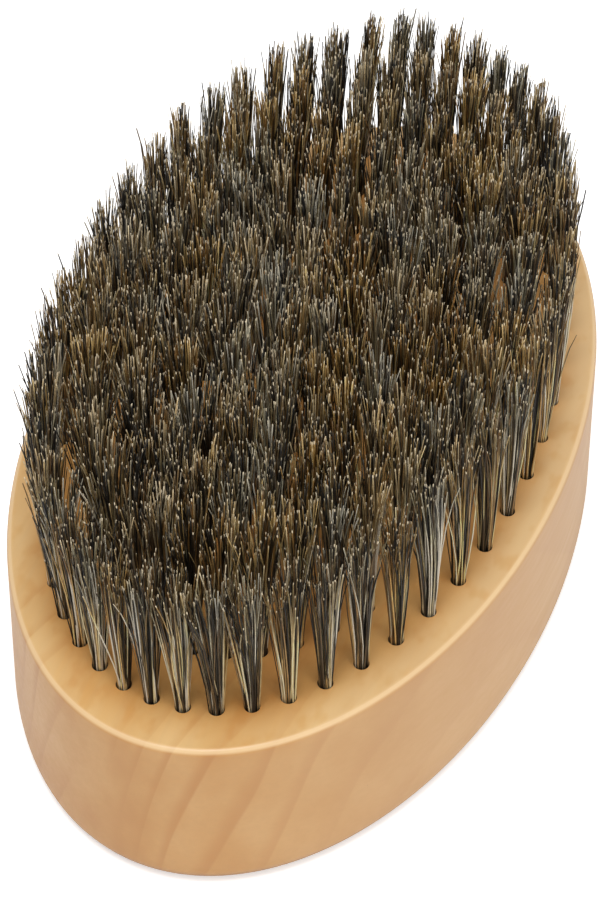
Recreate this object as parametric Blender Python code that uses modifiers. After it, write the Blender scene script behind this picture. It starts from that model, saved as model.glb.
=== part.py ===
"""Oval palm brush for beards: a one-piece wooden block set with boar-bristle tufts.

The tufts stand in blind holes on nested ovals. A flat wire anchor at the bottom of each hole
holds its tuft. The origin is the centre of the flat back, +Y runs along the block and +Z runs
up through the bristles. All sizes are in metres.
"""

from collections import namedtuple
from math import atan2, cos, pi, sin, tau

import bmesh
import bpy
from mathutils import Matrix, Vector

# Wooden block
BLOCK_LENGTH = 0.110
BLOCK_WIDTH = 0.064
BLOCK_HEIGHT = 0.023
WALL_DRAFT = 0.0006
FACE_EDGE_RADIUS = 0.0008
BACK_EDGE_RADIUS = 0.0025
EDGE_SEGMENTS = 2
SHARP_ANGLE = pi / 6
OUTLINE_SIDES = 64

# Tuft layout: nested ovals round one centre tuft, each with a step more tufts than the last
RINGS = 6
TUFTS_PER_RING_STEP = 8
RING_INSET_X = 0.0046
RING_INSET_Y = 0.0061

# Holes and the part of each tuft that stands in its hole
HOLE_RADIUS = 0.00085
HOLE_DEPTH = 0.012
HOLE_SIDES = 6
TUFT_RADIUS = 0.00075
TUFT_SIDES = 4
TUFT_FLOOR_GAP = 0.0002

# The upper part of the tufts, where neighbours spread into one another
BRISTLE_LENGTH = 0.022
SPREAD_START = 0.010
SPREAD_THICKNESS = 0.0026
SPREAD_SHARE = 0.38

# Flat wire anchors
ANCHOR_THICKNESS = 0.00025
ANCHOR_HEIGHT = 0.0012
ANCHOR_FLOOR_GAP = 0.0003
ANCHOR_REACH = 0.0012
ANCHOR_CLEARANCE = 0.0001
ANCHOR_HEADROOM = 0.0002

# Points closer than this are the same point, and heights closer than this are the same height
SAME_PLACE = 1e-6

# Worked out from the sizes above
TIP_Z = BLOCK_HEIGHT + BRISTLE_LENGTH
FLOOR_Z = BLOCK_HEIGHT - HOLE_DEPTH
SPREAD_Z = BLOCK_HEIGHT + SPREAD_START
ANCHOR_Z = FLOOR_Z + ANCHOR_FLOOR_GAP + ANCHOR_HEIGHT / 2
OUTER_RING_X = BLOCK_WIDTH / 2 - RING_INSET_X
OUTER_RING_Y = BLOCK_LENGTH / 2 - RING_INSET_Y

COLLECTION_NAME = "beard_brush"
CUTTER_COLLECTION_NAME = "cutters"

Tuft = namedtuple("Tuft", "centre turn")
Group = namedtuple("Group", "label tufts anchor_path spread_path")


def clear_scene():
    for obj in list(bpy.data.objects):
        bpy.data.objects.remove(obj, do_unlink=True)


def make_collection(name):
    collection = bpy.data.collections.new(name)
    bpy.context.scene.collection.children.link(collection)
    return collection


def make_material(name, colour, roughness, metallic=0.0):
    material = bpy.data.materials.new(name)
    material.use_nodes = True
    shader = material.node_tree.nodes["Principled BSDF"]
    shader.inputs["Base Color"].default_value = (*colour, 1.0)
    shader.inputs["Roughness"].default_value = roughness
    shader.inputs["Metallic"].default_value = metallic
    return material


def mesh_from(bm, name):
    bmesh.ops.recalc_face_normals(bm, faces=bm.faces)
    mesh = bpy.data.meshes.new(name)
    bm.to_mesh(mesh)
    bm.free()
    return mesh


def add_object(name, mesh, collection, material=None):
    obj = bpy.data.objects.new(name, mesh)
    collection.objects.link(obj)
    if material is not None:
        mesh.materials.append(material)
    return obj


def add_cutter(name, mesh, collection):
    cutter = add_object(name, mesh, collection)
    cutter.hide_render = True
    cutter.display_type = "WIRE"
    return cutter


def add_boolean(obj, other, operation):
    modifier = obj.modifiers.new(f"{operation.lower()} {other.name}", "BOOLEAN")
    modifier.object = other
    modifier.operation = operation
    modifier.solver = "EXACT"


def ring_tuft(ring, angle):
    """A tuft on a ring, with the direction that the ring runs in there as its turn from +X."""
    share = ring / RINGS
    centre = Vector((OUTER_RING_X * share * sin(angle), -OUTER_RING_Y * share * cos(angle), 0.0))
    return Tuft(centre, atan2(OUTER_RING_Y * sin(angle), OUTER_RING_X * cos(angle)))


def half_ring(ring, side):
    """The tufts of one side of a ring. Neighbour rings are staggered by half a tuft at both ends of the block."""
    count = ring * TUFTS_PER_RING_STEP
    start = 0.5 if (RINGS - ring) % 2 == 0 else 0.0
    first = 0 if side == "right" else count // 2
    angles = [tau * (first + index + start) / count for index in range(count // 2)]
    tufts = [ring_tuft(ring, angle) for angle in angles]
    lead = SPREAD_SHARE * tau / count
    spread_ends = [ring_tuft(ring, angles[0] - lead).centre, ring_tuft(ring, angles[-1] + lead).centre]
    label = f"ring_{RINGS + 1 - ring}_{side}"
    return group_of(label, tufts, spread_ends)


def centre_tuft():
    half_spread = Vector((0.0, SPREAD_THICKNESS / 2, 0.0))
    return group_of("centre", [Tuft(Vector((0.0, 0.0, 0.0)), pi / 2)], [-half_spread, half_spread])


def group_of(label, tufts, spread_ends):
    """Tufts that share a node, with the paths of their anchor strip and of the band where they spread."""
    centres = [tuft.centre for tuft in tufts]
    before = Vector((cos(tufts[0].turn), sin(tufts[0].turn), 0.0)) * ANCHOR_REACH
    after = Vector((cos(tufts[-1].turn), sin(tufts[-1].turn), 0.0)) * ANCHOR_REACH
    anchor_path = [centres[0] - before, *centres, centres[-1] + after]
    return Group(label, tufts, anchor_path, [spread_ends[0], *centres, spread_ends[1]])


def all_groups():
    rings = [half_ring(ring, side) for ring in range(RINGS, 0, -1) for side in ("right", "left")]
    return [*rings, centre_tuft()]


def ribbon_mesh(name, path, height, thickness, centre_z):
    """An upright strip along a path: an extruded curve, made a mesh and thickened."""
    curve = bpy.data.curves.new(name, "CURVE")
    curve.dimensions = "3D"
    curve.extrude = height / 2
    spline = curve.splines.new("POLY")
    spline.points.add(len(path) - 1)
    for place, point in zip(spline.points, path):
        place.co = (point.x, point.y, centre_z, 1.0)
    guide = bpy.data.objects.new(name, curve)
    bpy.context.scene.collection.objects.link(guide)
    solidify = guide.modifiers.new("thickness", "SOLIDIFY")
    solidify.thickness = thickness
    solidify.offset = 0.0
    graph = bpy.context.evaluated_depsgraph_get()
    mesh = bpy.data.meshes.new_from_object(guide.evaluated_get(graph))
    bpy.data.objects.remove(guide, do_unlink=True)
    bm = bmesh.new()
    bm.from_mesh(mesh)
    bmesh.ops.remove_doubles(bm, verts=bm.verts, dist=SAME_PLACE)
    bpy.data.meshes.remove(mesh)
    return mesh_from(bm, name)


def prisms_mesh(name, tufts, radius, sides, low, high):
    """An upright prism at each tuft, with two of its walls along the anchor."""
    bm = bmesh.new()
    for tuft in tufts:
        place = Matrix.Translation((tuft.centre.x, tuft.centre.y, (low + high) / 2))
        bmesh.ops.create_cone(
            bm,
            cap_ends=True,
            segments=sides,
            radius1=radius,
            radius2=radius,
            depth=high - low,
            matrix=place @ Matrix.Rotation(tuft.turn + pi / sides, 4, "Z"),
        )
    return mesh_from(bm, name)


def blank_mesh(name):
    """The block before drilling: an oval with nearly upright walls and rounded edges."""
    bm = bmesh.new()
    bmesh.ops.create_cone(
        bm,
        cap_ends=True,
        segments=OUTLINE_SIDES,
        radius1=1.0,
        radius2=1.0,
        depth=BLOCK_HEIGHT,
    )
    for vertex in bm.verts:
        draft = WALL_DRAFT if vertex.co.z < 0 else 0.0
        vertex.co.x *= BLOCK_WIDTH / 2 + draft
        vertex.co.y *= BLOCK_LENGTH / 2 + draft
        vertex.co.z += BLOCK_HEIGHT / 2
    round_rim(bm, 0.0, BACK_EDGE_RADIUS)
    round_rim(bm, BLOCK_HEIGHT, FACE_EDGE_RADIUS)
    return mesh_from(bm, name)


def round_rim(bm, level, radius):
    rim = [edge for edge in bm.edges if all(abs(vertex.co.z - level) < SAME_PLACE for vertex in edge.verts)]
    bmesh.ops.bevel(bm, geom=rim, offset=radius, segments=EDGE_SEGMENTS, profile=0.5, affect="EDGES")


def make_block(groups, slots, material, parts, cutters):
    block = add_object("wood_block", blank_mesh("wood_block"), parts, material)
    block.data.shade_smooth()
    block.data.set_sharp_from_angle(angle=SHARP_ANGLE)
    tufts = [tuft for group in groups for tuft in group.tufts]
    drill_radius = HOLE_RADIUS / cos(pi / HOLE_SIDES)
    holes = prisms_mesh("holes", tufts, drill_radius, HOLE_SIDES, FLOOR_Z, BLOCK_HEIGHT + HOLE_RADIUS)
    add_boolean(block, add_cutter("holes", holes, cutters), "DIFFERENCE")
    for slot in slots:
        add_boolean(block, slot, "DIFFERENCE")


def make_anchor(group, material, parts):
    name = f"anchor_wire_{group.label}"
    mesh = ribbon_mesh(name, group.anchor_path, ANCHOR_HEIGHT, ANCHOR_THICKNESS, ANCHOR_Z)
    add_object(name, mesh, parts, material)


def make_anchor_slot(group, cutters):
    """The space an anchor takes, in the wood and between the two legs of each tuft."""
    name = f"slot_{group.label}"
    path = list(group.anchor_path)
    path[0] += (path[0] - path[1]).normalized() * ANCHOR_CLEARANCE
    path[-1] += (path[-1] - path[-2]).normalized() * ANCHOR_CLEARANCE
    height = ANCHOR_HEIGHT + 2 * ANCHOR_HEADROOM
    thickness = ANCHOR_THICKNESS + 2 * ANCHOR_CLEARANCE
    return add_cutter(name, ribbon_mesh(name, path, height, thickness, ANCHOR_Z), cutters)


def make_bristles(group, slot, material, parts, cutters):
    """Tufts with straight stems in their holes, each folded over its anchor, joined where they spread."""
    name = f"bristles_{group.label}"
    middle_z = (SPREAD_Z + TIP_Z) / 2
    band = ribbon_mesh(name, group.spread_path, TIP_Z - SPREAD_Z, SPREAD_THICKNESS, middle_z)
    bristles = add_object(name, band, parts, material)
    stem_name = f"stems_{group.label}"
    stem_foot = FLOOR_Z + TUFT_FLOOR_GAP
    stems = prisms_mesh(stem_name, group.tufts, TUFT_RADIUS, TUFT_SIDES, stem_foot, SPREAD_Z + TUFT_RADIUS)
    add_boolean(bristles, add_cutter(stem_name, stems, cutters), "UNION")
    add_boolean(bristles, slot, "DIFFERENCE")


def build():
    clear_scene()
    parts = make_collection(COLLECTION_NAME)
    cutters = make_collection(CUTTER_COLLECTION_NAME)
    wood = make_material("wood", (0.62, 0.40, 0.20), 0.38)
    bristle = make_material("bristle", (0.09, 0.065, 0.04), 0.5)
    steel = make_material("anchor_steel", (0.55, 0.55, 0.56), 0.35, 1.0)
    groups = all_groups()
    slots = [make_anchor_slot(group, cutters) for group in groups]
    make_block(groups, slots, wood, parts, cutters)
    for group, slot in zip(groups, slots):
        make_anchor(group, steel, parts)
        make_bristles(group, slot, bristle, parts, cutters)


build()
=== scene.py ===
"""The looks of the beard brush: a lacquered wooden block set with mixed boar bristle.

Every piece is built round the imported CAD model. All lengths are in metres.
"""

from math import cos, hypot, pi, radians, sin, tau

import bmesh
import bpy
import numpy as np
from mathutils import Matrix, Vector


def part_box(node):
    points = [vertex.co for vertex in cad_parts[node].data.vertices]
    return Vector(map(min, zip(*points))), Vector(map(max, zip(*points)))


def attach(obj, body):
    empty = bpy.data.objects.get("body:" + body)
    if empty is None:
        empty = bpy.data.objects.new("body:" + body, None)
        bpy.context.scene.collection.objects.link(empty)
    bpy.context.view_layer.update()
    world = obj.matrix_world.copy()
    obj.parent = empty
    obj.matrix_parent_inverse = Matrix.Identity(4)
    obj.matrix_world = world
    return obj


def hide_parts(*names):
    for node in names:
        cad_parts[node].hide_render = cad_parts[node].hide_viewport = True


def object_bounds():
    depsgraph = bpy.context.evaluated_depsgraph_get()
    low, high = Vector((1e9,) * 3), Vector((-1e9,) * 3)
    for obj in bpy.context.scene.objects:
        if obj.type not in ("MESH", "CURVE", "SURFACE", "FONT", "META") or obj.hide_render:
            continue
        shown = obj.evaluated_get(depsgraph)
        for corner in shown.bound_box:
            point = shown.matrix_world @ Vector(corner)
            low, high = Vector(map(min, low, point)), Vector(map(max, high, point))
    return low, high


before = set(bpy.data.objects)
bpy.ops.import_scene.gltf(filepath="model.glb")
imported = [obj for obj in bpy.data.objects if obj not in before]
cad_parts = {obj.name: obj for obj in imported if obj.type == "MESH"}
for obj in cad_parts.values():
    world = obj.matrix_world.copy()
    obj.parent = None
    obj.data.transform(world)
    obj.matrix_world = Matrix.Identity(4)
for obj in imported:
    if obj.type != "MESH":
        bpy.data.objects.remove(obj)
cad_low, cad_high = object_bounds()

MM = 0.001
SEED = 20

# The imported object
BLOCK_LOW, BLOCK_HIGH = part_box("wood_block")
FACE_Z = BLOCK_HIGH.z
TIP_Z = cad_high.z
ANCHOR_LOW, ANCHOR_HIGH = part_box("anchor_wire_centre")
BRISTLE_NODES = sorted(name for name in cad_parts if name.startswith("bristles_"))

# The points of a stem's foot are level within SAME_HEIGHT and closer together than STEM_WIDTH
SAME_HEIGHT = 0.01 * MM
STEM_WIDTH = 2.0 * MM
# Decimals of a metre that count when tufts are put in order
ORDER_DECIMALS = 5


def tuft_centres(name):
    """Where the tufts of a CAD node stand: the centres of its stems' feet, in a fixed order."""
    places = [vertex.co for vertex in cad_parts[name].data.vertices]
    foot = min(place.z for place in places)
    groups = []
    for place in places:
        if place.z > foot + SAME_HEIGHT:
            continue
        for group in groups:
            if (place - group[0]).xy.length < STEM_WIDTH:
                group.append(place)
                break
        else:
            groups.append([place])
    centres = []
    for group in groups:
        xs = [place.x for place in group]
        ys = [place.y for place in group]
        centres.append(((min(xs) + max(xs)) / 2, (min(ys) + max(ys)) / 2))
    return sorted(centres, key=lambda c: (round(c[1], ORDER_DECIMALS), round(c[0], ORDER_DECIMALS)))


TUFTS = {name: tuft_centres(name) for name in BRISTLE_NODES}
ALL_TUFTS = [centre for centres in TUFTS.values() for centre in centres]
# Half the width and half the length of the outer row
HALF_SIZES = np.array([max(x for x, y in ALL_TUFTS), max(y for x, y in ALL_TUFTS)])

# Strands. The levels are shares of the way from the face to the tip
STRANDS_PER_TUFT = 86
STRAND_SIDES = 4
STRAND_LEVELS = np.array([0.0, 0.22, 0.46, 0.68, 0.87, 1.0])
STRAND_RADIUS = 0.088 * MM
STRAND_RADIUS_SPREAD = 0.22
STRAND_RADIUS_LIMITS = (0.55, 1.5)
TIP_TAPER = 0.62
TAPER_POWER = 3
TUFT_ROOT_RADIUS = 0.77 * MM
# Strands closer than LEG_SPACE to the middle plane of the anchor end on top of it
LEG_SPACE = 0.24 * MM
LEG_GAP = 0.1 * MM

# Spread of a tuft, in shares of HALF_SIZES. Pairs hold the values at the -Y end and at the +Y end
REACH_ALONG_ROW = (0.072, 0.041)
REACH_ACROSS_ROW = (0.112, 0.074)
STRAY_SHARE = (0.36, 0.06)
SPREAD_POWER = 1.45
TUFT_SIZES = (0.9, 1.1)
TIP_SCATTER = 0.010
STRAY_SCATTER = 0.030
PUSH_LIMIT = 1.9
TUFT_LEAN = 0.008
# The tuft within CENTRE_DISTANCE of the middle has no row. Those beyond OUTER_DISTANCE are in the outer row
CENTRE_DISTANCE = 0.05
OUTER_DISTANCE = 0.95
OUTWARD_SHARE = 0.45
OUTER_STRAY_SHARE = 0.5
END_LEAN = 0.024

# Cut and bend of the tips
DOME_DROP = 1.0 * MM
OUTER_DOME_DROP = 2.3 * MM
DOME_POWER = 1.6
CUT_SCATTER = 0.8 * MM
SHORT_SHARE = 0.34
SHORT_DROP = 4.0 * MM
BEND = 0.20 * MM
TIP_CURL = 0.30 * MM
CURL_POWER = 6

# Spread of the strands' kind and warmth, which both run from 0 to 1
COLOUR_PATCH = 0.16
TUFT_TINT = 0.055
TUFT_WARMTH = 0.42
STRAND_WARMTH = 0.15

# Map of the strands: one narrow strip each
MAP_NAME = "OFBake"
MAP_CELL_SHAPE = 17
MAP_ROOT_SHARE = 0.12
MAP_END_SHARE = 0.02
MAP_INSET = (0.25, 0.04)

# Block
OUTLINE_SIDES = 240
EDGE_STEPS = 8
WALL_STEPS = 8
RIM_RADIUS = 0.8 * MM
BACK_RADIUS = 2.5 * MM
WALL_DRAFT = 0.6 * MM
SHARP_ANGLE = radians(35)
HOLE_SIDES = 20
HOLE_RADIUS = 0.85 * MM
HOLE_FLOOR_Z = ANCHOR_LOW.z - 0.3 * MM
HOLE_CHAMFER = 0.05 * MM

# Flat wire anchors
ANCHOR_REACH = 1.2 * MM
ANCHOR_THICKNESS = 0.25 * MM
ANCHOR_EDGE = 0.06 * MM
ANCHOR_SAG = 0.08 * MM
ANCHOR_RINGS = 7

# Wood tones. A tint is multiplied with the colour under it
WOOD_TONES = (
    (0.32, (0.500, 0.235, 0.073)),
    (0.50, (0.555, 0.290, 0.100)),
    (0.68, (0.600, 0.340, 0.135)),
)
LATE_WOOD = (0.470, 0.205, 0.058, 1.0)
FIBRE_TONE = (0.480, 0.280, 0.120, 1.0)
PALE_SIDE_TONE = (0.610, 0.385, 0.190, 1.0)
# Painted highlight along the rounded rim
RIM_HIGHLIGHT_TONE = (0.880, 0.670, 0.390, 1.0)
SPECK_TONE = (0.16, 0.07, 0.03, 1.0)
FACE_TINT = (1.22, 1.42, 1.62, 1.0)
# Painted shade on the face under the bristles, in a warm tint
BRISTLE_SHADE_TINT = (0.93, 0.72, 0.45, 1.0)
MOTTLE_TINT = (0.93, 0.83, 0.68, 1.0)
# Painted shade along the rounded lower edge, like a contact shadow
LOWER_EDGE_SHADE_TINT = (0.58, 0.52, 0.46, 1.0)
# Drilled wood, darkened partly by painted shade inside the holes
DRILLED_AND_SHADED_TONES = ((0.3, (0.10, 0.050, 0.022)), (0.7, (0.26, 0.145, 0.065)))

# Wood grain. A scale is in features per metre along X, Y and Z
LAYERS_PER_METRE = 240.0
LAYER_SLANT_Y = -0.30
LAYER_SLANT_Z = 0.29
LAYER_WANDER = 0.013
WANDER_SCALE = (38.0, 16.0, 10.0)
LATE_WOOD_SCALE = (45.0, 20.0, 20.0)
FIBRE_SCALE = (1500.0, 45.0, 1500.0)
CLOUD_SCALE = (95.0, 26.0, 60.0)
MOTTLE_SCALE = (430.0, 250.0, 430.0)
DRILLED_SCALE = (1500.0, 1500.0, 300.0)
SPECKS_PER_METRE = 240.0
WOOD_RELIEF = 0.06 * MM

# Bristle tones, from the darkest kind of strand to the palest
BRISTLE_TONES = (
    (0.00, (0.014, 0.014, 0.014)),
    (0.28, (0.020, 0.018, 0.016)),
    (0.42, (0.062, 0.044, 0.025)),
    (0.53, (0.130, 0.080, 0.036)),
    (0.63, (0.205, 0.145, 0.066)),
    (0.73, (0.235, 0.190, 0.105)),
    (0.83, (0.285, 0.252, 0.175)),
    (0.92, (0.380, 0.335, 0.245)),
    (1.00, (0.500, 0.450, 0.360)),
)
COOL_CAST = (0.96, 0.99, 1.00, 1.0)
WARM_CAST = (1.34, 1.02, 0.55, 1.0)
PALEST = (0.68, 0.62, 0.50)
CUT_TONE = (0.740, 0.620, 0.430, 1.0)
# Painted light and shade: pale strands are brighter in their lower parts and darker near the tips
LOWER_PAINTED_LIGHT = 2.7
UPPER_PAINTED_LIGHT = 0.80
STREAK_SCALE = (9000.0, 9000.0, 260.0)

# Wire
WIRE_TONES = ((0.3, (0.42, 0.42, 0.43)), (0.7, (0.62, 0.62, 0.63)))
WIRE_SCALE = (400.0, 400.0, 9000.0)

# Studio. Each softbox has a name, a place, a size and a power in watts
WHITE = (1.0, 1.0, 1.0, 1.0)
FLOOR_WHITE = (0.90, 0.90, 0.90, 1.0)
FLOOR_HALF_SIZE = 3.0
FLOOR_LIFT = 0.45
STUDIO_LIGHT = 0.62
BACKDROP = 1.05
LIGHT_TARGET = (0.0, 0.0, 0.02)
SOFTBOXES = (
    ("overhead_light", (0.02, -0.16, 0.67), 0.35, 2.7),
    ("right_light", (0.6, -0.35, 0.35), 0.3, 0.8),
)

# Camera: where it stands as seen from the centre of the bristle face, and how far off that centre it aims
CAMERA_AZIMUTH = radians(18.75)
CAMERA_ELEVATION = radians(45.58)
CAMERA_DISTANCE = 320.0 * MM
CAMERA_LENS = 106.9
CAMERA_ROLL = radians(-0.29)
CAMERA_CLIP_START = 0.01
AIM_RIGHT = -1.53 * MM
AIM_UP = -5.75 * MM


def add_object(name, data):
    made = bpy.data.objects.new(name, data)
    bpy.context.scene.collection.objects.link(made)
    return made


def mesh_from(bm, name, material):
    mesh = bpy.data.meshes.new(name)
    bm.to_mesh(mesh)
    bm.free()
    mesh.materials.append(material)
    return mesh


def loft(bm, rings):
    """A closed solid from rings of vertices that run anticlockwise, from the lowest ring to the highest."""
    for lower, upper in zip(rings, rings[1:]):
        for index in range(len(lower)):
            after = (index + 1) % len(lower)
            bm.faces.new((lower[index], lower[after], upper[after], upper[index]))
    bm.faces.new(tuple(reversed(rings[0])))
    bm.faces.new(tuple(rings[-1]))


def take_place(piece, cad_name):
    """Shows a piece in place of its CAD node, on the brush's only body."""
    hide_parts(cad_name)
    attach(piece, "root")


# ---------------------------------------------------------------- materials


def new_material(name):
    material = bpy.data.materials.new(name)
    material.use_nodes = True
    tree = material.node_tree
    return material, tree, tree.nodes["Principled BSDF"]


def node(tree, kind, **settings):
    made = tree.nodes.new(kind)
    for key, value in settings.items():
        setattr(made, key, value)
    return made


def feed(tree, target, source):
    """Connects a socket to an input, or sets the input to a plain value."""
    if isinstance(source, bpy.types.NodeSocket):
        tree.links.new(source, target)
    else:
        target.default_value = source


def maths(tree, operation, first, second=0.0):
    made = node(tree, "ShaderNodeMath", operation=operation)
    feed(tree, made.inputs[0], first)
    feed(tree, made.inputs[1], second)
    return made.outputs[0]


def product(tree, *factors):
    result = factors[0]
    for factor in factors[1:]:
        result = maths(tree, "MULTIPLY", result, factor)
    return result


def mix_colour(tree, share, first, second, blend="MIX"):
    made = node(tree, "ShaderNodeMix", data_type="RGBA", blend_type=blend)
    feed(tree, made.inputs["Factor"], share)
    feed(tree, made.inputs[6], first)
    feed(tree, made.inputs[7], second)
    return made.outputs[2]


def tinted(tree, share, colour, tint):
    return mix_colour(tree, share, colour, tint, "MULTIPLY")


def remap(tree, value, low, high, to_low=0.0, to_high=1.0, smooth=False):
    made = node(tree, "ShaderNodeMapRange", interpolation_type="SMOOTHSTEP" if smooth else "LINEAR")
    feed(tree, made.inputs["Value"], value)
    for key, number in (("From Min", low), ("From Max", high), ("To Min", to_low), ("To Max", to_high)):
        made.inputs[key].default_value = number
    return made.outputs["Result"]


def ramp(tree, value, stops):
    made = node(tree, "ShaderNodeValToRGB")
    elements = made.color_ramp.elements
    while len(elements) < len(stops):
        elements.new(0.5)
    for element, (place, colour) in zip(elements, stops):
        element.position = place
        element.color = (*colour, 1.0)
    feed(tree, made.inputs["Fac"], value)
    return made.outputs["Color"]


def noise(tree, place, scale, detail, roughness=0.5):
    """Noise with a scale of its own along each axis."""
    mapping = node(tree, "ShaderNodeMapping")
    feed(tree, mapping.inputs["Vector"], place)
    mapping.inputs["Scale"].default_value = scale
    made = node(tree, "ShaderNodeTexNoise")
    feed(tree, made.inputs["Vector"], mapping.outputs["Vector"])
    made.inputs["Scale"].default_value = 1.0
    made.inputs["Detail"].default_value = detail
    made.inputs["Roughness"].default_value = roughness
    return made.outputs["Fac"]


def bump(tree, height, strength, distance):
    made = node(tree, "ShaderNodeBump")
    feed(tree, made.inputs["Height"], height)
    made.inputs["Strength"].default_value = strength
    made.inputs["Distance"].default_value = distance
    return made.outputs["Normal"]


def object_place(tree):
    return node(tree, "ShaderNodeTexCoord").outputs["Object"]


def axes_of(tree, vector):
    split = node(tree, "ShaderNodeSeparateXYZ")
    feed(tree, split.inputs[0], vector)
    return split.outputs["X"], split.outputs["Y"], split.outputs["Z"]


def growth_layers(tree, place, on_face):
    """(place within a growth layer, strength of the dark late wood there). The layers are slanted upright
    planes. Their late wood fades towards the +X side and on the face."""
    x, y, z = axes_of(tree, place)
    across = maths(tree, "SUBTRACT", x, product(tree, z, LAYER_SLANT_Z))
    across = maths(tree, "ADD", across, product(tree, y, LAYER_SLANT_Y))
    across = maths(tree, "ADD", across, product(tree, noise(tree, place, WANDER_SCALE, 2.0), LAYER_WANDER))
    layer = maths(tree, "FRACT", product(tree, across, LAYERS_PER_METRE))
    strength = product(
        tree,
        remap(tree, noise(tree, place, LATE_WOOD_SCALE, 1.0), 0.36, 0.60),
        remap(tree, x, 0.0, 24.0 * MM, 1.0, 0.35),
        remap(tree, on_face, 0.0, 1.0, 1.0, 0.55),
    )
    rising = remap(tree, layer, 0.58, 0.93, 0.0, 1.0, smooth=True)
    falling = remap(tree, layer, 0.93, 1.0, 1.0, 0.0, smooth=True)
    return layer, product(tree, rising, falling, strength)


def shaded_and_mottled(tree, colour, place, on_face):
    """Painted shade on the face under the bristles, in a warm tint that ends just outside the outer row, and
    mottles all over the face.
    """
    shares = [maths(tree, "DIVIDE", axis, half) for axis, half in zip(axes_of(tree, place), HALF_SIZES)]
    squares = [product(tree, share, share) for share in shares]
    outwards = maths(tree, "SQRT", maths(tree, "ADD", *squares))
    # Painted shade of the bristles: the face is darkened in a warm tint inside the outer row
    bristle_shade = product(tree, on_face, remap(tree, outwards, 0.97, 1.12, 0.85, 0.0, smooth=True))
    colour = tinted(tree, bristle_shade, colour, BRISTLE_SHADE_TINT)
    spots = remap(tree, noise(tree, place, MOTTLE_SCALE, 2.0), 0.48, 0.70, 0.0, 0.75, smooth=True)
    return tinted(tree, product(tree, on_face, spots), colour, MOTTLE_TINT)


def specked(tree, colour, place):
    """Small dark specks, in about one of thirty cells."""
    cells = node(tree, "ShaderNodeTexVoronoi")
    feed(tree, cells.inputs["Vector"], place)
    cells.inputs["Scale"].default_value = SPECKS_PER_METRE
    pick = node(tree, "ShaderNodeSeparateColor")
    feed(tree, pick.inputs[0], cells.outputs["Color"])
    chosen = remap(tree, pick.outputs[0], 0.965, 0.970)
    spot = remap(tree, cells.outputs["Distance"], 0.030, 0.055, 1.0, 0.0)
    return mix_colour(tree, product(tree, chosen, spot, 0.8), colour, SPECK_TONE)


def wood_material():
    """Light quarter-cut hardwood under thin satin lacquer, with a painted rim highlight and painted shade.
    """
    material, tree, shader = new_material("lacquered_light_wood")
    place = object_place(tree)
    x = axes_of(tree, place)[0]
    upward = axes_of(tree, node(tree, "ShaderNodeNewGeometry").outputs["Normal"])[2]
    on_face = remap(tree, upward, 0.90, 0.98)
    layer, late = growth_layers(tree, place, on_face)
    fibre = noise(tree, place, FIBRE_SCALE, 3.0, 0.6)
    colour = ramp(tree, noise(tree, place, CLOUD_SCALE, 3.0, 0.55), WOOD_TONES)
    colour = mix_colour(tree, product(tree, late, 0.80), colour, LATE_WOOD)
    colour = mix_colour(tree, remap(tree, fibre, 0.35, 0.75, 0.0, 0.22), colour, FIBRE_TONE)
    pale = remap(tree, x, 4.0 * MM, 30.0 * MM, 0.0, 0.40, smooth=True)
    colour = mix_colour(tree, pale, colour, PALE_SIDE_TONE)
    colour = tinted(tree, on_face, colour, FACE_TINT)
    colour = shaded_and_mottled(tree, colour, place, on_face)
    # Painted highlight: the rounded rim between wall and face is mixed towards a pale tone
    rising = remap(tree, upward, 0.38, 0.68)
    falling = remap(tree, upward, 0.91, 0.98, 1.0, 0.0)
    rim = product(tree, rising, falling, 0.55)
    colour = mix_colour(tree, rim, colour, RIM_HIGHLIGHT_TONE)
    # Painted shade: the underside of the rounded lower edge is darkened like a contact shadow
    painted_edge_shade = remap(tree, upward, -0.60, -0.10, 0.75, 0.0, smooth=True)
    colour = tinted(tree, painted_edge_shade, colour, LOWER_EDGE_SHADE_TINT)
    feed(tree, shader.inputs["Base Color"], specked(tree, colour, place))
    feed(tree, shader.inputs["Roughness"], remap(tree, fibre, 0.3, 0.7, 0.40, 0.52))
    shader.inputs["Specular IOR Level"].default_value = 0.35
    shader.inputs["Coat Weight"].default_value = 0.22
    shader.inputs["Coat Roughness"].default_value = 0.28
    height = maths(tree, "ADD", product(tree, fibre, 0.6), product(tree, layer, 0.1))
    feed(tree, shader.inputs["Normal"], bump(tree, height, 0.10, WOOD_RELIEF))
    return material


def shaded_hole_material():
    """Bare drilled wood: rough, and darker partly as wood slightly scorched by the drill and partly as
    painted shade in the holes.
    """
    material, tree, shader = new_material("shaded_drilled_wood")
    grain = noise(tree, object_place(tree), DRILLED_SCALE, 2.0)
    feed(tree, shader.inputs["Base Color"], ramp(tree, grain, DRILLED_AND_SHADED_TONES))
    shader.inputs["Roughness"].default_value = 0.85
    return material


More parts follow.
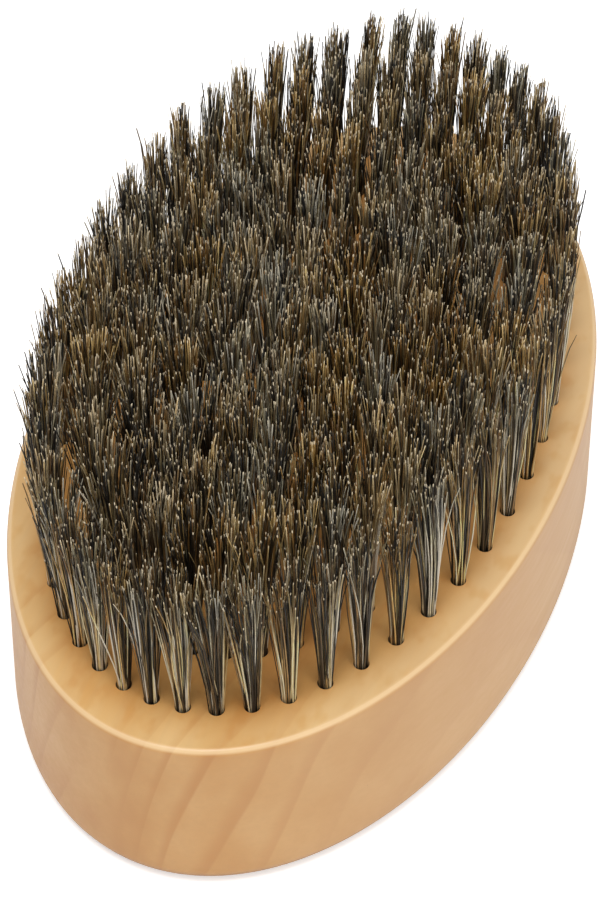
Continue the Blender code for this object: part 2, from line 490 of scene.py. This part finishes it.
def bristle_material():
    """Boar bristle. The strand attribute holds each strand's kind, the place along it, its shade and its
    warmth. Pale kinds are painted brighter in their lower parts than near the tips, as painted light and
    shade; every strand gets painted shade where it meets the face; the cut ends are paler than the rest."""
    material, tree, shader = new_material("boar_bristle")
    strand = node(tree, "ShaderNodeAttribute", attribute_name="strand")
    split = node(tree, "ShaderNodeSeparateColor")
    feed(tree, split.inputs[0], strand.outputs["Color"])
    kind, along, shade = split.outputs[0], split.outputs[1], split.outputs[2]
    streak = noise(tree, object_place(tree), STREAK_SCALE, 2.0)
    # Painted light and shade: pale kinds are brighter in their lower parts than near the tips
    lower = product(
        tree,
        remap(tree, along, 0.48, 0.93, LOWER_PAINTED_LIGHT - UPPER_PAINTED_LIGHT, 0.0, smooth=True),
        remap(tree, kind, 0.30, 0.60),
    )
    tone_and_painted_light = product(
        tree,
        remap(tree, shade, 0.0, 1.0, 0.66, 1.34),
        remap(tree, streak, 0.3, 0.7, 0.7, 1.3),
        # Painted shade where the strand meets the face and goes into its hole
        remap(tree, along, 0.00, 0.05, 0.55, 1.0, smooth=True),
        maths(tree, "ADD", lower, UPPER_PAINTED_LIGHT),
    )
    warmth = product(tree, strand.outputs["Alpha"], remap(tree, along, 0.4, 0.9, 0.55, 1.0))
    cast = mix_colour(tree, warmth, COOL_CAST, WARM_CAST)
    lit = node(tree, "ShaderNodeVectorMath", operation="SCALE")
    feed(tree, lit.inputs[0], tinted(tree, 1.0, ramp(tree, kind, BRISTLE_TONES), cast))
    feed(tree, lit.inputs["Scale"], tone_and_painted_light)
    bounded = node(tree, "ShaderNodeVectorMath", operation="MINIMUM")
    feed(tree, bounded.inputs[0], lit.outputs[0])
    bounded.inputs[1].default_value = PALEST
    cut = product(tree, remap(tree, along, 0.980, 0.990), remap(tree, shade, 0.35, 1.0, 0.05, 0.9))
    feed(tree, shader.inputs["Base Color"], mix_colour(tree, cut, bounded.outputs[0], CUT_TONE))
    feed(tree, shader.inputs["Roughness"], remap(tree, streak, 0.3, 0.7, 0.34, 0.50))
    shader.inputs["IOR"].default_value = 1.4
    shader.inputs["Specular IOR Level"].default_value = 0.4
    return material


def wire_material():
    """Drawn flat steel wire with faint drawing lines."""
    material, tree, shader = new_material("drawn_flat_wire")
    lines = noise(tree, object_place(tree), WIRE_SCALE, 2.0)
    feed(tree, shader.inputs["Base Color"], ramp(tree, lines, WIRE_TONES))
    feed(tree, shader.inputs["Roughness"], remap(tree, lines, 0.3, 0.7, 0.28, 0.45))
    shader.inputs["Metallic"].default_value = 1.0
    return material


def floor_material():
    """A white sweep: lifted to near white for the camera only, so that just a soft contact shadow shows."""
    material, tree, shader = new_material("pale_floor")
    shader.inputs["Base Color"].default_value = FLOOR_WHITE
    shader.inputs["Roughness"].default_value = 0.9
    shader.inputs["Specular IOR Level"].default_value = 0.1
    seen = node(tree, "ShaderNodeLightPath").outputs["Is Camera Ray"]
    shader.inputs["Emission Color"].default_value = WHITE
    feed(tree, shader.inputs["Emission Strength"], product(tree, seen, FLOOR_LIFT))
    return material


# ---------------------------------------------------------------- bristles


def row_place(centre):
    """(distance from the middle, direction across the row) of a tuft, both in shares of HALF_SIZES."""
    place = np.array(centre) / HALF_SIZES
    distance = hypot(*place)
    return distance, place / distance if distance > CENTRE_DISTANCE else np.array([1.0, 0.0])


def anchor_direction(centre):
    """The unit vector along a tuft's row, which its anchor lies along."""
    across = row_place(centre)[1]
    direction = np.array([-across[1], across[0]]) * HALF_SIZES
    return direction / hypot(*direction)


def between(pair, share):
    return pair[0] + (pair[1] - pair[0]) * share


def tip_offsets(centre, unit, reach, draw):
    """(each strand's direction from its tuft's axis, how far its tip stands out from that axis). The tufts
    fill the oval evenly. They spread less towards the +Y end, and less out over the rim than inwards."""
    distance, across = row_place(centre)
    along = np.array([-across[1], across[0]])
    outer = distance > OUTER_DISTANCE
    far = (distance * across[1] + 1.0) / 2.0
    size = draw.uniform(*TUFT_SIZES)
    outward = np.where((unit[:, 0] > 0) & outer, OUTWARD_SHARE, 1.0)
    offsets = (unit[:, :1] * (reach * between(REACH_ACROSS_ROW, far) * outward)[:, None]) * across
    offsets += (unit[:, 1:] * (reach * between(REACH_ALONG_ROW, far))[:, None]) * along
    stray_share = between(STRAY_SHARE, far) * (OUTER_STRAY_SHARE if outer else 1.0)
    stray = draw.random(len(reach)) < stray_share
    push = np.clip(draw.normal(0.0, 1.0, (len(reach), 2)), -PUSH_LIMIT, PUSH_LIMIT)
    scatter = np.where(stray, STRAY_SCATTER, TIP_SCATTER)[:, None] * push
    lean = draw.normal(0.0, TUFT_LEAN, 2)
    if outer:
        lean[1] += across[1] * END_LEAN
    # The root's directions follow the row too, so that no strand crosses its tuft
    turned = unit[:, :1] * across + unit[:, 1:] * along
    return turned, (offsets * size + scatter + lean) * HALF_SIZES


def strand_paths(centre, draw):
    """(points of each strand from foot to tip, the side of the tuft that each strand stands on). The legs of
    the folded bristles stand on both sides of the anchor. The strands in the middle end on top of it."""
    count = STRANDS_PER_TUFT
    reach = np.sqrt(draw.random(count))
    turn = draw.random(count) * tau
    unit = np.stack([np.cos(turn), np.sin(turn)], -1)
    turned, tip = tip_offsets(centre, unit, reach, draw)
    root = turned * (reach * TUFT_ROOT_RADIUS)[:, None]
    dome = OUTER_DOME_DROP if row_place(centre)[0] > OUTER_DISTANCE else DOME_DROP
    drop = dome * reach**DOME_POWER + np.abs(draw.normal(0.0, CUT_SCATTER, count))
    drop += np.where(draw.random(count) < SHORT_SHARE, draw.random(count) * SHORT_DROP, 0.0)
    height = TIP_Z - FACE_Z - drop
    bend = draw.normal(0.0, BEND, (count, 2))
    curl = draw.normal(0.0, TIP_CURL, (count, 2))
    rise = STRAND_LEVELS[None, :, None]
    above = root[:, None] + (tip - root)[:, None] * rise**SPREAD_POWER
    above += bend[:, None] * np.sin(pi * rise) + curl[:, None] * rise**CURL_POWER
    xy = np.concatenate([root[:, None], above], 1) + np.array(centre)
    side = root @ np.array([1.0, -1.0] * anchor_direction(centre)[::-1])
    foot = np.where(np.abs(side) < LEG_SPACE, ANCHOR_HIGH.z, HOLE_FLOOR_Z) + LEG_GAP
    z = np.concatenate([foot[:, None], FACE_Z + STRAND_LEVELS * height[:, None]], 1)
    return np.concatenate([xy, z[..., None]], -1), turn


def strand_colours(turn, draw):
    """(kind, shade, warmth) of each strand. Strands of a kind lie together in patches."""
    kind = draw.random(len(turn)) + COLOUR_PATCH * np.cos(turn - draw.random() * tau)
    kind += draw.normal(0.0, TUFT_TINT)
    warmth = 0.5 + draw.normal(0.0, TUFT_WARMTH) + draw.normal(0.0, STRAND_WARMTH, len(turn))
    return np.clip(kind, 0.0, 1.0), draw.random(len(turn)), np.clip(warmth, 0.0, 1.0)


def tuft_arrays(centre, draw):
    """(vertices, strand attribute) of one tuft."""
    points, turn = strand_paths(centre, draw)
    kind, shade, warmth = strand_colours(turn, draw)
    count, levels = points.shape[:2]
    radius = STRAND_RADIUS * np.clip(draw.normal(1.0, STRAND_RADIUS_SPREAD, count), *STRAND_RADIUS_LIMITS)
    along = np.concatenate([[0.0], STRAND_LEVELS])
    taper = 1.0 - (1.0 - TIP_TAPER) * along**TAPER_POWER
    angles = (draw.random(count) * tau)[:, None] + np.arange(STRAND_SIDES) * tau / STRAND_SIDES
    ring = np.stack([np.cos(angles), np.sin(angles), np.zeros_like(angles)], -1)
    size = radius[:, None] * taper[None, :]
    vertices = points[:, :, None, :] + ring[:, None, :, :] * size[:, :, None, None]
    strand = np.empty((count, levels, STRAND_SIDES, 4))
    strand[..., 0] = kind[:, None, None]
    strand[..., 1] = along[None, :, None]
    strand[..., 2] = shade[:, None, None]
    strand[..., 3] = warmth[:, None, None]
    return vertices.reshape(-1, 3), strand.reshape(-1, 4)


def strand_faces(strands):
    """(faces, place of each face corner on its strand's strip of the map) for that many strands."""
    map_levels = np.concatenate([[0.0], MAP_ROOT_SHARE + (1.0 - MAP_ROOT_SHARE) * STRAND_LEVELS])
    levels = len(map_levels)
    steps = np.arange(levels - 1)[:, None] * STRAND_SIDES
    side = np.arange(STRAND_SIDES)
    after = (side + 1) % STRAND_SIDES
    corners = [steps + side, steps + after, steps + STRAND_SIDES + after, steps + STRAND_SIDES + side]
    caps = np.array([side[::-1], (levels - 1) * STRAND_SIDES + side])
    pattern = np.concatenate([np.stack(corners, -1).reshape(-1, STRAND_SIDES), caps])
    offsets = np.arange(strands) * levels * STRAND_SIDES
    faces = (pattern[None] + offsets[:, None, None]).reshape(-1, STRAND_SIDES)
    low = np.repeat(map_levels[:-1], STRAND_SIDES)
    high = np.repeat(map_levels[1:], STRAND_SIDES)
    foot_end = [0.0, 0.0, MAP_END_SHARE, MAP_END_SHARE]
    tip_end = [1.0 - MAP_END_SHARE, 1.0 - MAP_END_SHARE, 1.0, 1.0]
    up = np.concatenate([np.stack([low, low, high, high], -1), [foot_end, tip_end]])
    sideways = np.broadcast_to([0.0, 1.0, 1.0, 0.0], up.shape)
    return faces, np.stack([sideways, up], -1)


def strand_map(strands, places):
    """Gives every strand its own strip of the map, so that baked colours don't run into one another."""
    columns = int(np.ceil(np.sqrt(MAP_CELL_SHAPE * strands)))
    rows = int(np.ceil(strands / columns))
    index = np.arange(strands)
    corner = np.stack([index % columns, index // columns], -1)[:, None, None, :]
    inset = np.array(MAP_INSET)
    inside = inset + places[None] * (1.0 - 2.0 * inset)
    return ((corner + inside) / np.array([columns, rows])).reshape(-1, 2)


def make_bristles(cad_name, material, draw):
    """The tufts of one CAD node, as one mesh of many closed strands."""
    parts = [tuft_arrays(centre, draw) for centre in TUFTS[cad_name]]
    vertices = np.concatenate([part[0] for part in parts]).astype(np.float32)
    strand = np.concatenate([part[1] for part in parts]).astype(np.float32)
    strands = STRANDS_PER_TUFT * len(parts)
    faces, places = strand_faces(strands)
    name = f"{cad_name}_strands"
    mesh = bpy.data.meshes.new(name)
    mesh.vertices.add(len(vertices))
    mesh.vertices.foreach_set("co", vertices.ravel())
    mesh.loops.add(faces.size)
    mesh.loops.foreach_set("vertex_index", faces.astype(np.int32).ravel())
    mesh.polygons.add(len(faces))
    mesh.polygons.foreach_set("loop_start", np.arange(0, faces.size, STRAND_SIDES, dtype=np.int32))
    mesh.update(calc_edges=True)
    mesh.attributes.new("strand", "FLOAT_COLOR", "POINT").data.foreach_set("color", strand.ravel())
    map_places = strand_map(strands, places).astype(np.float32)
    mesh.uv_layers.new(name=MAP_NAME).uv.foreach_set("vector", map_places.ravel())
    mesh.materials.append(material)
    mesh.shade_smooth()
    take_place(add_object(name, mesh), cad_name)


# ---------------------------------------------------------------- block


def block_profile():
    """The block's outline from the edge of the back up the wall to the edge of the face, as (inset, z)."""
    height = FACE_Z - BLOCK_LOW.z
    quarter = [pi / 2 * step / EDGE_STEPS for step in range(EDGE_STEPS + 1)]
    points = [(BACK_RADIUS * (1 - sin(angle)), BACK_RADIUS * (1 - cos(angle))) for angle in quarter]
    for step in range(1, WALL_STEPS):
        points.append((0.0, BACK_RADIUS + (height - BACK_RADIUS - RIM_RADIUS) * step / WALL_STEPS))
    points += [(RIM_RADIUS * (1 - cos(angle)), height - RIM_RADIUS * (1 - sin(angle))) for angle in quarter]
    # The wall leans in only above the rounded lower edge, where the block has its full size
    draft = WALL_DRAFT / (height - BACK_RADIUS)
    return [(inset + draft * max(z - BACK_RADIUS, 0.0), z) for inset, z in points]


def make_blank(name, material):
    """The block before drilling."""
    bm = bmesh.new()
    half = ((BLOCK_HIGH - BLOCK_LOW) / 2).xy
    angles = [tau * index / OUTLINE_SIDES for index in range(OUTLINE_SIDES)]
    rings = []
    for inset, z in block_profile():
        size_x, size_y, level = half.x - inset, half.y - inset, BLOCK_LOW.z + z
        rings.append([bm.verts.new((size_x * cos(angle), size_y * sin(angle), level)) for angle in angles])
    loft(bm, rings)
    return add_object(name, mesh_from(bm, name, material))


def drill(block, centres, material):
    """Cuts a chamfered blind hole at each tuft."""
    bm = bmesh.new()
    profile = (
        (HOLE_RADIUS, HOLE_FLOOR_Z),
        (HOLE_RADIUS, FACE_Z - HOLE_CHAMFER),
        (HOLE_RADIUS + HOLE_CHAMFER, FACE_Z),
        (HOLE_RADIUS + 2 * HOLE_CHAMFER, FACE_Z + HOLE_CHAMFER),
    )
    angles = [tau * index / HOLE_SIDES for index in range(HOLE_SIDES)]
    for x, y in centres:
        rings = []
        for radius, z in profile:
            rings.append([bm.verts.new((x + radius * cos(a), y + radius * sin(a), z)) for a in angles])
        loft(bm, rings)
    cutter = add_object("drill_holes", mesh_from(bm, "drill_holes", material))
    cut = block.modifiers.new("holes", "BOOLEAN")
    cut.object = cutter
    cut.operation = "DIFFERENCE"
    cut.solver = "EXACT"
    cut.material_mode = "TRANSFER"
    graph = bpy.context.evaluated_depsgraph_get()
    drilled = bpy.data.meshes.new_from_object(block.evaluated_get(graph))
    block.modifiers.clear()
    block.data = drilled
    bpy.data.objects.remove(cutter, do_unlink=True)


def make_block(wood, hole):
    block = make_blank("drilled_block", wood)
    drill(block, ALL_TUFTS, hole)
    block.data.shade_smooth()
    block.data.set_sharp_from_angle(angle=SHARP_ANGLE)
    take_place(block, "wood_block")


# ---------------------------------------------------------------- anchors


def anchor_section():
    """The flat wire's section with bevelled edges, as (sideways, height) from its middle."""
    half_width = ANCHOR_THICKNESS / 2
    half_height = (ANCHOR_HIGH.z - ANCHOR_LOW.z) / 2
    edge = ANCHOR_EDGE
    right = [
        (half_width, edge - half_height),
        (half_width, half_height - edge),
        (half_width - edge, half_height),
    ]
    left = [(-side, height) for side, height in reversed(right)]
    bottom = [(edge - half_width, -half_height), (half_width - edge, -half_height)]
    return [*right, *left, *bottom]


def make_anchors(cad_name, tufts, material):
    """A short flat wire across the bottom of each hole, pulled down a little in its middle."""
    bm = bmesh.new()
    middle_z = (ANCHOR_LOW.z + ANCHOR_HIGH.z) / 2
    section = anchor_section()
    for centre in tufts:
        along = anchor_direction(centre)
        across = np.array([along[1], -along[0]])
        rings = []
        for share in np.linspace(-1.0, 1.0, ANCHOR_RINGS):
            sag = ANCHOR_SAG * (1.0 - share * share)
            ring = []
            for side, height in section:
                x, y = centre + along * share * ANCHOR_REACH + across * side
                ring.append(bm.verts.new((x, y, middle_z + height - sag)))
            rings.append(ring)
        for first, second in zip(rings, rings[1:]):
            for index in range(len(section)):
                after = (index + 1) % len(section)
                bm.faces.new((first[index], second[index], second[after], first[after]))
        bm.faces.new(tuple(rings[0]))
        bm.faces.new(tuple(reversed(rings[-1])))
    bmesh.ops.recalc_face_normals(bm, faces=bm.faces[:])
    name = f"{cad_name}_pieces"
    take_place(add_object(name, mesh_from(bm, name, material)), cad_name)


# ---------------------------------------------------------------- studio


def make_floor(material):
    bm = bmesh.new()
    bmesh.ops.create_grid(bm, x_segments=1, y_segments=1, size=FLOOR_HALF_SIZE)
    add_object("floor", mesh_from(bm, "floor", material))


def add_softbox(name, place, size, power):
    light = bpy.data.lights.new(name, "AREA")
    light.shape = "DISK"
    light.size = size
    light.energy = power
    lamp = add_object(name, light)
    lamp.location = place
    lamp.rotation_euler = (Vector(LIGHT_TARGET) - Vector(place)).to_track_quat("-Z", "Y").to_euler()


def set_world():
    """An even white studio. The camera sees plain white behind the object."""
    world = bpy.data.worlds.new("studio")
    bpy.context.scene.world = world
    world.use_nodes = True
    tree = world.node_tree
    background = tree.nodes["Background"]
    background.inputs["Color"].default_value = WHITE
    seen = node(tree, "ShaderNodeLightPath").outputs["Is Camera Ray"]
    feed(tree, background.inputs["Strength"], remap(tree, seen, 0.0, 1.0, STUDIO_LIGHT, BACKDROP))


def set_camera():
    """A close camera over the near end, a little to the right. It aims below the centre of the face."""
    back = Vector(
        (
            sin(CAMERA_AZIMUTH) * cos(CAMERA_ELEVATION),
            -cos(CAMERA_AZIMUTH) * cos(CAMERA_ELEVATION),
            sin(CAMERA_ELEVATION),
        )
    )
    right = Vector((cos(CAMERA_AZIMUTH), sin(CAMERA_AZIMUTH), 0.0))
    up = back.cross(right)
    block_centre = (BLOCK_LOW + BLOCK_HIGH) / 2
    face_centre = Vector((block_centre.x, block_centre.y, FACE_Z))
    data = bpy.data.cameras.new("camera")
    data.lens = CAMERA_LENS
    data.clip_start = CAMERA_CLIP_START
    camera = add_object("camera", data)
    axes = Matrix((right, up, back)).transposed()
    camera.rotation_euler = (axes @ Matrix.Rotation(-CAMERA_ROLL, 3, "Z")).to_euler()
    camera.location = face_centre + right * AIM_RIGHT + up * AIM_UP + back * CAMERA_DISTANCE
    bpy.context.scene.camera = camera


def build():
    draw = np.random.default_rng(SEED)
    make_block(wood_material(), shaded_hole_material())
    bristle = bristle_material()
    for name in BRISTLE_NODES:
        make_bristles(name, bristle, draw)
    wire = wire_material()
    for name in BRISTLE_NODES:
        make_anchors(name.replace("bristles", "anchor_wire"), TUFTS[name], wire)
    make_floor(floor_material())
    set_world()
    for softbox in SOFTBOXES:
        add_softbox(*softbox)
    set_camera()
    bpy.context.scene.view_settings.view_transform = "Standard"


build()
